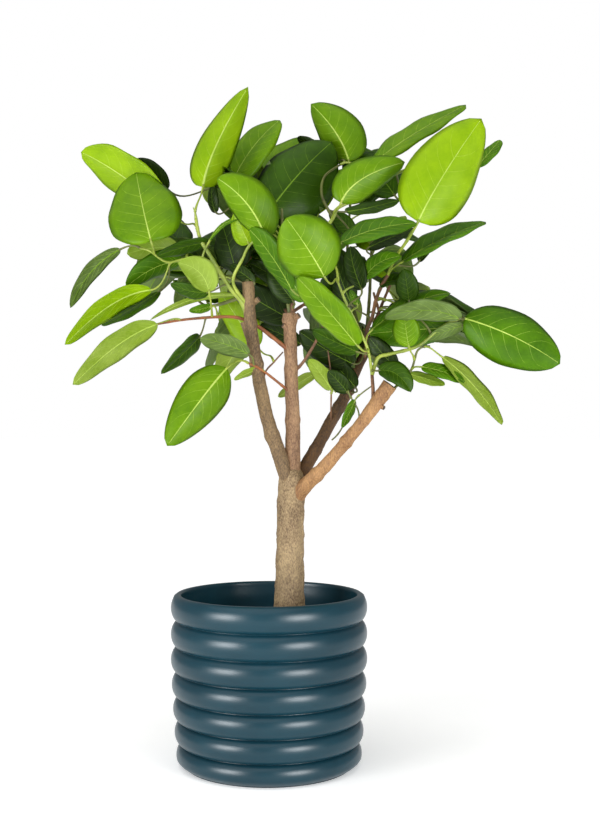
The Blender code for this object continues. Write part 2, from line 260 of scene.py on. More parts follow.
# The planter: a turned profile of seven rounded rings. Ring 0 is the highest. Lip points are
# offsets from the outside radius or the lip radius, and from the top.
pot = {
    "radius": 0.150, "height": 0.260, "rings": 7, "ringShrink": 0.025, "straightRings": 3,
    "footTaper": 0.055, "taperCurve": 1.3, "footRadius": 0.128, "footRound": 0.3, "footStep": 0.006,
    "grooveDepth": 0.0125, "stepsPerRing": 18, "roundness": 0.50, "topRingEnd": 0.80,
    "lipRadius": 0.1345, "outerLip": ((-0.0045, -0.0032), (-0.0085, -0.0004)),
    "innerLip": ((0.003, 0.0), (0.0008, -0.0008), (0.0, -0.003)), "lipDrop": 0.003,
    "innerSteps": 70, "innerCurve": 1.7, "innerRelief": 0.0012, "innerFloorRadius": 0.122,
    "innerCorner": 0.006, "floorThickness": 0.010, "segments": 160, "sweepRadius": 0.1,
    "weld": 0.00002,
}


def potProfile():
    # radius and height of the outline, from the middle of the underside, up outside, down inside
    rings, straight, top = pot["rings"], pot["straightRings"], pot["height"]
    ringTop = top / (rings - pot["ringShrink"] * rings * (rings - 1) / 2)
    heights = [ringTop * (1 - pot["ringShrink"] * index) for index in range(rings)]
    outline = [(0.0, 0.0), (pot["footRadius"] * 0.6, 0.0), (pot["footRadius"], 0.0)]
    low = 0.0
    for index in reversed(range(rings)):
        below = max(0, index + 1 - straight) / (rings - straight)
        widest = pot["radius"] * (1 - pot["footTaper"] * below ** pot["taperCurve"])
        steps = pot["stepsPerRing"]
        for step in range(1, steps):
            share = (1 - math.cos(math.pi * step / steps)) / 2  # closer steps in the grooves
            if index == 0 and share > pot["topRingEnd"]:
                break
            bulge = (4 * share * (1 - share)) ** pot["roundness"]
            radius = widest - pot["grooveDepth"] * (1 - bulge)
            if index == rings - 1 and share < pot["footRound"]:
                radius -= pot["footStep"] * (1 - share / pot["footRound"])
            outline.append((radius, low + share * heights[index]))
        low += heights[index]
    outline += [(pot["radius"] + out, top + up) for out, up in pot["outerLip"]]
    outline += [(pot["lipRadius"] + out, top + up) for out, up in pot["innerLip"]]
    floorAt = pot["floorThickness"]
    for step in range(1, pot["innerSteps"] + 1):
        share = step / pot["innerSteps"]
        height = top - pot["lipDrop"] - share * (top - pot["lipDrop"] - floorAt - pot["innerCorner"])
        narrowing = (pot["lipRadius"] - pot["innerFloorRadius"]) * share ** pot["innerCurve"]
        ripple = pot["innerRelief"] * (math.cos((top - height) / ringTop * 2 * math.pi) - 1) * 0.5
        outline.append((pot["lipRadius"] - narrowing + ripple * min(1, share * 8), height))
    outline += [(pot["innerFloorRadius"] - pot["innerCorner"], floorAt),
                (pot["innerFloorRadius"] * 0.5, floorAt), (0.0, floorAt)]
    return outline


def turnTree(material):
    # sweeps a drawn profile round a circle, closes its poles and smooths it
    tree, given, shape, ids = newShape(
        "turnedPlanter", (("Segments", "Int"), ("Circle Radius", "Float")), material)
    path = addNode(tree, "GeometryNodeCurvePrimitiveCircle")
    sweep = addNode(tree, "GeometryNodeCurveToMesh")
    merge = addNode(tree, "GeometryNodeMergeByDistance", {"Distance": pot["weld"]})
    smooth = addNode(tree, "GeometryNodeSetShadeSmooth")
    connect(
        tree,
        (given, "Segments", path, "Resolution"),
        (given, "Circle Radius", path, "Radius"),
        (path, "Curve", sweep, "Curve"),
        (given, "Geometry", sweep, "Profile Curve"),
        (sweep, "Mesh", merge, "Geometry"),
        (merge, "Geometry", smooth, "Geometry"),
        (smooth, "Geometry", shape, "Geometry"))
    return tree, ids


def settle(source, tree, values, name):
    # runs a Geometry Nodes tree on an object and keeps the result as a plain mesh
    modifier = source.modifiers.new("shape", "NODES")
    modifier.node_group = tree
    for identifier, value in values.items():
        modifier[identifier] = value
    evaluated = source.evaluated_get(bpy.context.evaluated_depsgraph_get())
    mesh = bpy.data.meshes.new_from_object(evaluated)
    mesh.name = name
    source.modifiers.remove(modifier)
    bpy.data.objects.remove(source)
    return linked(name, mesh)


def turnNormalsOut(piece):
    work = bmesh.new()
    work.from_mesh(piece.data)
    bmesh.ops.recalc_face_normals(work, faces=work.faces)
    work.to_mesh(piece.data)
    work.free()


def makePot():
    curve = bpy.data.curves.new("potOutline", "CURVE")
    curve.dimensions = "3D"
    spline = curve.splines.new("POLY")
    outline = potProfile()
    spline.points.add(len(outline) - 1)
    for point, (radius, height) in zip(spline.points, outline):
        point.co = (radius - pot["sweepRadius"], -height, 0.0, 1.0)  # the sweep turns it over
    tree, ids = turnTree(glaze)
    values = {ids["Segments"]: pot["segments"], ids["Circle Radius"]: pot["sweepRadius"]}
    piece = settle(linked("potOutline", curve), tree, values, "planter_glazed")
    turnNormalsOut(piece)
    return piece


planter = makePot()
finishPiece(planter, "glaze", "pot")
print("planter", len(planter.data.polygons))

# Potting mix: the CAD solid with a better finish, and loose grains on it.
soil = {
    "top": 0.210, "radius": 0.1235, "density": 41600.0, "seed": 5, "smallest": 0.0014, "largest": 0.0042,
    "rimPoints": 48, "mostTurn": (6.28, 6.28, 6.28),
}
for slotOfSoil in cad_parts["soil"].material_slots:
    slotOfSoil.material = soilMaterial


def grainTree():
    tree, given, shape, ids = newShape(
        "soilGrains",
        (("Density", "Float"), ("Seed", "Int"), ("Smallest", "Float"), ("Largest", "Float")),
        grainMaterial)
    spread = addNode(tree, "GeometryNodeDistributePointsOnFaces")
    ball = addNode(tree, "GeometryNodeMeshIcoSphere", {"Radius": 1.0, "Subdivisions": 1})
    size = addNode(tree, "FunctionNodeRandomValue", data_type="FLOAT_VECTOR")
    turn = addNode(tree, "FunctionNodeRandomValue", {1: soil["mostTurn"]}, data_type="FLOAT_VECTOR")
    strew = addNode(tree, "GeometryNodeInstanceOnPoints")
    connect(
        tree,
        (given, "Geometry", spread, "Mesh"),
        (given, "Density", spread, "Density"),
        (given, "Seed", spread, "Seed"),
        (given, "Smallest", size, 0),
        (given, "Largest", size, 1),
        (spread, "Points", strew, "Points"),
        (ball, "Mesh", strew, "Instance"),
        (size, 0, strew, "Scale"),
        (turn, 0, strew, "Rotation"),
        (strew, "Instances", shape, "Geometry"))
    return tree, ids


def makeGrains():
    points = soil["rimPoints"]
    rim = [(soil["radius"] * math.cos(2 * math.pi * k / points),
            soil["radius"] * math.sin(2 * math.pi * k / points), soil["top"]) for k in range(points)]
    faces = [(k, (k + 1) % points, points) for k in range(points)]
    source = newPiece("grainBed", rim + [(0, 0, soil["top"])], faces, [grainMaterial])
    tree, ids = grainTree()
    values = {ids[name]: soil[name.lower()] for name in ("Density", "Seed", "Smallest", "Largest")}
    return settle(source, tree, values, "soil_grains")


grains = makeGrains()
finishPiece(grains, "soil")
print("soil grains", len(grains.data.polygons))


def smoothPath(points, spacing):
    # points are (place, radius); a rounded curve through them, evenly stepped
    ends = [points[0]] + list(points) + [points[-1]]
    path = []
    for k in range(1, len(ends) - 2):
        steps = max(2, int((ends[k + 1][0] - ends[k][0]).length / spacing))
        for step in range(steps):
            t = step / steps
            a, b, c, d = (ends[k + j][0] for j in (-1, 0, 1, 2))
            spot = 0.5 * (2 * b + (c - a) * t + (2 * a - 5 * b + 4 * c - d) * t * t
                          + (3 * b - a - 3 * c + d) * t ** 3)
            path.append((spot, ends[k][1] + (ends[k + 1][1] - ends[k][1]) * t))
    path.append((points[-1][0].copy(), points[-1][1]))
    return path


def squareTo(ahead, way):
    # a direction turned square to the one ahead
    return (way - ahead * way.dot(ahead)).normalized()


class Mound:
    # vertices, faces and material numbers gathered for one joined piece
    def __init__(self):
        self.vertices = []
        self.faces = []
        self.slots = []

    def piece(self, name, materials):
        return newPiece(name, self.vertices, self.faces, materials, self.slots)


barkNoise = {"scale": 90, "along": 0.45, "falloff": 0.8, "step": 2.1, "layers": 4}


def addTube(mound, path, sides, slot, relief=0.0, scars=(), capSlot=None, seed=0.0):
    # a closed tube along (place, radius) points; scars are (distance, height, width) swellings
    across = Vector((1, 0, 0))
    first = len(mound.vertices)
    travelled = 0.0
    for k, (spot, radius) in enumerate(path):
        ahead = path[min(k + 1, len(path) - 1)][0] - path[max(k - 1, 0)][0]
        ahead.normalize()
        across = squareTo(ahead, across)
        other = ahead.cross(across)
        if k:
            travelled += (spot - path[k - 1][0]).length
        swell = sum(high * math.exp(-((travelled - at) / wide) ** 2) for at, high, wide in scars)
        for side in range(sides):
            angle = 2 * math.pi * side / sides
            out = across * math.cos(angle) + other * math.sin(angle)
            reach = radius + swell
            if relief:
                probe = (spot + out * radius) * barkNoise["scale"] + Vector((seed, seed * 2, 0))
                probe.z *= barkNoise["along"]
                reach += relief * radius * noise.fractal(
                    probe, barkNoise["falloff"], barkNoise["step"], barkNoise["layers"])
            mound.vertices.append(spot + out * reach)
    for k in range(len(path) - 1):
        for side in range(sides):
            a = first + k * sides + side
            b = first + k * sides + (side + 1) % sides
            mound.faces.append((a, b, b + sides, a + sides))
            mound.slots.append(slot)
    for ring, turned in ((first, True), (first + (len(path) - 1) * sides, False)):
        middle = len(mound.vertices)
        mound.vertices.append(sum((mound.vertices[ring + s] for s in range(sides)), Vector()) / sides)
        for side in range(sides):
            a, b = ring + side, ring + (side + 1) % sides
            mound.faces.append((b, a, middle) if turned else (a, b, middle))
            mound.slots.append(slot if capSlot is None or turned else capSlot)


# Limbs: sizes, then the axis of each as ((x, y, z), radius). Stubs are cut side shoots: bark, start
# and end as (u, v, depth), and radius.
limbs = {
    "sides": 40, "step": 0.0022, "relief": 0.09, "seedStep": 7.3,
    "stubRelief": 1.4, "stubMiddle": 0.6, "stubShape": (1.15, 0.95, 0.9), "stubSeed": 50,
    "stubSeedStep": 3.1,
    "trunk": (
        ((0.031, 0, 0.2103), 0.0275), ((0.031, 0, 0.245), 0.0232), ((0.032, 0, 0.33), 0.021),
        ((0.033, 0, 0.402), 0.0205), ((0.0345, 0.001, 0.437), 0.0195), ((0.036, 0.001, 0.452), 0.011)),
    "left": (
        ((0.034, -0.002, 0.418), 0.013), ((0.013, -0.01, 0.479), 0.011),
        ((-0.002, -0.015, 0.525), 0.0105), ((-0.015, -0.02, 0.586), 0.01),
        ((-0.027, -0.03, 0.668), 0.0092), ((-0.031, -0.036, 0.733), 0.0088)),
    "middle": (
        ((0.035, 0, 0.415), 0.0135), ((0.036, 0, 0.525), 0.0108), ((0.034, -0.005, 0.586), 0.0104),
        ((0.032, -0.01, 0.662), 0.0098), ((0.031, -0.011, 0.688), 0.0098)),
    "rear": (
        ((0.036, 0.003, 0.42), 0.012), ((0.07, 0.02, 0.477), 0.0098), ((0.096, 0.035, 0.523), 0.0094),
        ((0.12, 0.05, 0.566), 0.0092), ((0.134, 0.055, 0.602), 0.009), ((0.149, 0.06, 0.628), 0.007)),
    "right": (
        ((0.032, 0.004, 0.384), 0.011), ((0.05, -0.012, 0.419), 0.0118),
        ((0.074, -0.03, 0.444), 0.0104), ((0.097, -0.04, 0.47), 0.0094),
        ((0.139, -0.055, 0.521), 0.0092), ((0.18, -0.064, 0.578), 0.0118)),
    "stubs": (
        ("greyBark", (256, 356, -0.022), (243, 322, -0.03), 0.0054),
        ("greyBark", (250, 305, -0.03), (259, 299, -0.036), 0.005),
        ("pinkBark", (291, 330, -0.012), (283, 325, -0.018), 0.0044),
        ("pinkBark", (291, 321, -0.012), (299, 315, -0.018), 0.0048),
        ("rustBark", (351, 438, -0.042), (357, 433, -0.05), 0.0034),
        ("darkBark", (346, 397, 0.042), (353, 391, 0.034), 0.0046),
        ("greyBark", (262, 392, -0.018), (257, 386, -0.024), 0.0042),
        ("rustBark", (376, 404, -0.06), (384, 408, -0.068), 0.0036)),
}
limbBark = {"trunk": "trunkBark", "left": "greyBark", "middle": "pinkBark", "rear": "darkBark",
            "right": "rustBark"}
limbScars = {
    "trunk": ((0.140, 0.0009, 0.004), (0.060, 0.0006, 0.003), (0.192, 0.0012, 0.006)),
    "left": ((0.09, 0.0012, 0.006), (0.20, 0.0016, 0.006), (0.262, 0.0014, 0.005)),
    "middle": ((0.11, 0.0012, 0.005), (0.19, 0.0010, 0.005), (0.262, 0.0022, 0.005)),
    "rear": ((0.07, 0.0010, 0.005), (0.15, 0.0014, 0.006)),
    "right": ((0.08, 0.0012, 0.005), (0.148, 0.0016, 0.005)),
}
network = []  # points of every limb and shoot that a leaf stalk may grow from


def remember(path, name):
    network.extend((spot.copy(), name) for spot, radius in path)


def makeLimbs():
    mound = Mound()
    cut = barkNames.index("cutWood")
    for number, (name, barkName) in enumerate(limbBark.items()):
        path = smoothPath([(Vector(spot), radius) for spot, radius in limbs[name]], limbs["step"])
        addTube(mound, path, limbs["sides"], barkNames.index(barkName), limbs["relief"],
                limbScars[name], cut, seed=number * limbs["seedStep"])
        if name != "trunk":
            remember(path[len(path) // 2:], name)
    for number, (barkName, start, end, radius) in enumerate(limbs["stubs"]):
        ends = [place(*start), place(*start).lerp(place(*end), limbs["stubMiddle"]), place(*end)]
        points = [(spot, radius * share) for spot, share in zip(ends, limbs["stubShape"])]
        addTube(mound, smoothPath(points, limbs["step"]), limbs["sides"] // 2, barkNames.index(barkName),
                limbs["relief"] * limbs["stubRelief"], (), cut,
                seed=limbs["stubSeed"] + number * limbs["stubSeedStep"])
    return mound.piece("bark_limbs", list(barkMaterials.values()))


bark = makeLimbs()
finishPiece(bark, "bark", "trunk", "bough_left", "bough_middle", "bough_rear", "bough_right")
print("limbs", len(bark.data.polygons))

# Shoots seen in the photo: colour, start and end width in mm, then (u, v, depth) along each.
shoots = {
    "leftShoot": ("green", 7.5, 5.0, (
        (250, 330, -0.028), (243, 305, -0.035), (228, 285, -0.045), (214, 262, -0.05),
        (200, 238, -0.055), (196, 219, -0.055))),
    "leftBud": ("green", 5.0, 1.0, (
        (196, 219, -0.055), (195, 212, -0.056), (193, 207, -0.057))),
    "leftStem": ("green", 5.4, 3.6, (
        (250, 315, -0.03), (247, 305, -0.035), (233, 282, -0.055), (243, 258, -0.07),
        (249, 246, -0.08), (262, 234, -0.09))),
    "levelStem": ("rust", 6.5, 3.2, (
        (288, 350, -0.012), (270, 335, -0.018), (255, 325, -0.02), (233, 317, -0.025),
        (190, 319, -0.03), (158, 324, -0.035))),
    "farLeftStem": ("green", 4.0, 3.0, (
        (214, 262, -0.05), (190, 258, -0.05), (167, 262, -0.05), (150, 251, -0.06), (140, 248, -0.05))),
    "lowLeftStem": ("rust", 4.5, 3.0, (
        (289, 392, -0.008), (285, 388, -0.012), (262, 370, -0.03), (248, 363, -0.045))),
    "darkTwig": ("brown", 3.2, 2.2, (
        (263, 392, -0.018), (265, 373, -0.02), (274, 362, -0.016), (283, 352, -0.014))),
    "middleShoot": ("brown", 6.0, 4.2, (
        (292, 316, -0.011), (294, 290, -0.02), (300, 262, -0.04), (312, 240, -0.05), (325, 232, -0.05))),
    "centreShoot": ("green", 5.5, 4.5, (
        (320, 236, -0.05), (333, 218, -0.055), (338, 208, -0.055), (360, 197, -0.05),
        (381, 181, -0.04), (405, 170, -0.04))),
    "topTwig": ("olive", 5.0, 3.0, (
        (333, 218, -0.055), (322, 196, -0.02), (325, 176, 0.0), (345, 162, 0.02))),
    "middleLeft": ("brown", 5.0, 3.0, (
        (294, 290, -0.02), (282, 262, -0.03), (262, 236, -0.03), (240, 210, -0.01), (228, 190, 0.0))),
    "middleTwig": ("brown", 5.0, 3.4, (
        (291, 372, -0.006), (298, 368, -0.01), (308, 355, -0.02), (323, 327, -0.04), (330, 297, -0.07))),
    "rightShoot": ("brown", 6.5, 5.0, (
        (364, 357, 0.055), (366, 345, 0.03), (367, 330, 0.0), (372, 318, -0.02), (376, 300, -0.035),
        (382, 285, -0.05), (388, 275, -0.055))),
    "heroStalk": ("green", 5.0, 4.0, (
        (388, 275, -0.055), (394, 260, -0.07), (402, 248, -0.09), (410, 236, -0.105),
        (418, 222, -0.12))),
    "centreStem": ("green", 4.4, 3.4, (
        (372, 375, -0.05), (368, 350, -0.06), (357, 325, -0.07), (345, 300, -0.08), (338, 282, -0.09))),
    "rightNode": ("brown", 6.0, 5.0, (
        (381, 398, -0.063), (374, 400, -0.06), (373, 388, -0.055), (372, 375, -0.05))),
    "rightStem": ("green", 6.0, 3.8, (
        (372, 375, -0.05), (378, 358, -0.05), (390, 354, -0.05), (418, 346, -0.05), (440, 328, -0.05),
        (461, 318, -0.055))),
    "hangStem": ("olive", 4.0, 3.0, (
        (390, 392, -0.064), (410, 372, -0.06), (418, 350, -0.055), (430, 346, -0.055))),
    "thinStem": ("brown", 2.6, 2.2, (
        (331, 424, 0.03), (331, 410, 0.02), (331, 380, 0.0), (328, 350, -0.01))),
    "lowStem": ("olive", 2.6, 2.2, (
        (360, 426, -0.045), (358, 410, -0.045), (350, 396, -0.045), (348, 390, -0.045))),
    "hookStem": ("olive", 2.4, 2.0, (
        (332, 440, -0.02), (338, 434, -0.03), (344, 424, -0.04), (355, 400, -0.045),
        (373, 385, -0.055))),
}
# swellShare turns the end width in mm into the swelling at a leaf node in metres
shoot = {"step": 0.004, "sides": 12, "relief": 0.04, "nodeEvery": 0.026, "nodeWidth": 0.0022,
         "swellShare": 9000}


def addShoot(mound, tint, start, end, spots, name):
    # widths in mm; small swellings stand at the leaf nodes
    reach = [sum((spots[j + 1] - spots[j]).length for j in range(k)) for k in range(len(spots))]
    whole = max(reach[-1], 0.001)
    points = [(spot, (start + (end - start) * along / whole) / 2000)
              for spot, along in zip(spots, reach)]
    path = smoothPath(points, shoot["step"])
    scars = [(shoot["nodeEvery"] * (k + 0.6), end / shoot["swellShare"], shoot["nodeWidth"])
             for k in range(int(whole / shoot["nodeEvery"]))]
    addTube(mound, path, shoot["sides"], stemNames.index(tint), shoot["relief"], scars)
    remember(path, name)
    return path


stems = Mound()
for shootName, (tint, startWidth, endWidth, pixels) in shoots.items():
    addShoot(stems, tint, startWidth, endWidth, [place(*pixel) for pixel in pixels], shootName)
print("shoots", len(stems.faces))

# Leaf blades. slimmest and widest bound the half width: of the length, and of the width seen.
leaf = {
    "steps": 20, "acrossSteps": 5, "thickness": 0.0006, "slimmest": 0.26, "widest": 1.8, "cup": 0.10,
    "wave": 0.035, "waves": 17, "crowding": 0.35, "basePower": 0.50, "tipPower": 0.60, "bow": 0.05,
}
outlinePeak = (50 / 110) ** leaf["basePower"] * (60 / 110) ** leaf["tipPower"]


def outlineAt(t):
    # share of the half width at a share of the length: round base, widest before the middle, drawn tip
    t = min(max(t, 0.0), 1.0)
    return (t ** leaf["basePower"]) * ((1 - t) ** leaf["tipPower"]) / outlinePeak


class Blade:
    # one leaf: a midrib curve and two halves, each with its own direction
    def __init__(self, base, middle, tip, leftWay, rightWay, halfLeft, halfRight, seed):
        self.base, self.tip = base, tip
        self.bend = 2 * middle - (base + tip) / 2
        self.leftWay, self.rightWay = leftWay, rightWay
        self.halfLeft, self.halfRight = halfLeft, halfRight
        self.seed = seed
        self.length = (middle - base).length + (tip - middle).length

    def spine(self, t):
        return self.base * (1 - t) ** 2 + self.bend * 2 * t * (1 - t) + self.tip * t * t

    def heading(self, t):
        return ((self.bend - self.base) * (1 - t) + (self.tip - self.bend) * t).normalized()

    def surface(self, t, s):
        # s from -1 at the left edge to 1 at the right; the cup swells each half a little
        ahead = self.heading(t)
        way, half = (self.leftWay, self.halfLeft) if s < 0 else (self.rightWay, self.halfRight)
        way = squareTo(ahead, way)
        share = abs(s)
        width = half * outlineAt(t)
        turn = t * leaf["waves"] + self.seed * 5 + (2 if s < 0 else 0)
        ripple = leaf["wave"] * half * share * share * math.sin(turn)
        swell = leaf["cup"] * width * math.sin(math.pi * share)
        return self.spine(t) + way * width * share + self.upAt(t) * (swell + ripple)

    def upAt(self, t):
        ahead = self.heading(t)
        right = squareTo(ahead, self.rightWay)
        across = right - squareTo(ahead, self.leftWay)
        if across.length < 0.05:  # a blade folded shut
            across = right
        return across.cross(ahead).normalized()

    def normal(self, t, s):
        gap = 0.01
        t = min(max(t, gap * 2), 1 - gap * 2)
        s = min(max(s, -1 + gap), 1 - gap)
        along = self.surface(t + gap, s) - self.surface(t - gap, s)
        side = self.surface(t, s + gap) - self.surface(t, s - gap)
        return side.cross(along).normalized()


def addBlade(mound, blade, upperSlot, underSlot):
    # a thin closed blade: the upper and under skins share the edge points
    steps, wide = leaf["steps"], leaf["acrossSteps"]
    columns = 2 * wide + 1
    upper, under = {}, {}
    for i in range(steps + 1):
        t = i / steps
        t = t - leaf["crowding"] * math.sin(2 * math.pi * t) / (2 * math.pi)  # closer steps at the ends
        for j in range(columns):
            s = (j - wide) / wide
            if i in (0, steps) and j > 0:
                upper[i, j] = under[i, j] = upper[i, 0]
                continue
            spot = blade.surface(t, s)
            if i in (0, steps) or j in (0, columns - 1):
                upper[i, j] = under[i, j] = len(mound.vertices)
                mound.vertices.append(spot)
                continue
            lift = blade.normal(t, s) * (leaf["thickness"] / 2)
            upper[i, j] = len(mound.vertices)
            mound.vertices.append(spot + lift)
            under[i, j] = len(mound.vertices)
            mound.vertices.append(spot - lift)
    for i in range(steps):
        for j in range(columns - 1):
            for skin, slot in ((upper, upperSlot), (under, underSlot)):
                ring = [skin[i, j], skin[i, j + 1], skin[i + 1, j + 1], skin[i + 1, j]]
                ring = [v for k, v in enumerate(ring) if v not in ring[:k]]
                if skin is under:
                    ring.reverse()
                if len(ring) > 2:
                    mound.faces.append(tuple(ring))
                    mound.slots.append(slot)


# Veins: low ridges on both faces. Side pairs start at shares of the length and lean towards the tip.
vein = {
    "midribWidth": 0.0034, "midribSteps": 14, "midribStart": 0.004, "midribSpan": 0.97,
    "fullLength": 0.13, "sideWidth": 0.0015, "rise": 0.0006, "sunk": 0.0003, "narrowing": 0.72,
    "flattening": 0.5, "pairs": 6, "firstPair": 0.02, "pairSpan": 0.78, "pairPower": 1.1, "lean": 0.16,
    "firstLean": 0.24, "curve": 0.09, "stagger": 0.02, "across": 0.86, "last": 0.97,
}


def addVein(mound, blade, route, width, slot, side):
    # a low ridge along a route of (t, s) on one face of the blade
    rows = []
    for k, (t, s) in enumerate(route):
        share = k / (len(route) - 1)
        near, far = route[max(k - 1, 0)], route[min(k + 1, len(route) - 1)]
        ahead = (blade.surface(*far) - blade.surface(*near)).normalized()
        up = blade.normal(t, s) * side
        across = up.cross(ahead).normalized() * (width * (1 - vein["narrowing"] * share) / 2)
        spot = blade.surface(t, s) + up * (leaf["thickness"] / 2)
        rise = vein["rise"] * (1 - vein["flattening"] * share) * (width / vein["midribWidth"]) ** 0.3
        sunk = up * vein["sunk"]
        rows.append(tuple(range(len(mound.vertices), len(mound.vertices) + 3)))
        mound.vertices.extend((spot - across - sunk, spot + up * rise, spot + across - sunk))
    for before, after in zip(rows, rows[1:]):
        for column in (0, 1):
            ring = (before[column], before[column + 1], after[column + 1], after[column])
            mound.faces.append(tuple(reversed(ring)))
            mound.slots.append(slot)


def addVeins(mound, blade, tints):
    steps, pairs = vein["midribSteps"], vein["pairs"]
    for side, tint in ((1, tints[0]), (-1, tints[1])):
        slot = tintNames.index("ribLight" if tint in lightTints else "ribSoft")
        route = [(k / steps * vein["midribSpan"] + vein["midribStart"], 0.0) for k in range(steps + 1)]
        width = vein["midribWidth"] * min(1.0, blade.length / vein["fullLength"])
        addVein(mound, blade, route, width, slot, side)
        slot = tintNames.index(tint + "Vein")
        for pair in range(pairs):
            start = vein["firstPair"] + vein["pairSpan"] * (pair / pairs) ** vein["pairPower"]
            lean = vein["lean"] if pair else vein["firstLean"]  # the first pair runs up along the edge
            for hand in (-1, 1):
                begin = start + (vein["stagger"] if hand > 0 else 0)
                route = [(min(vein["last"], begin + lean * q + vein["curve"] * q ** 3),
                          hand * vein["across"] * q) for q in (0.0, 0.25, 0.5, 0.75, 1.0)]
                addVein(mound, blade, route, vein["sideWidth"], slot, side)


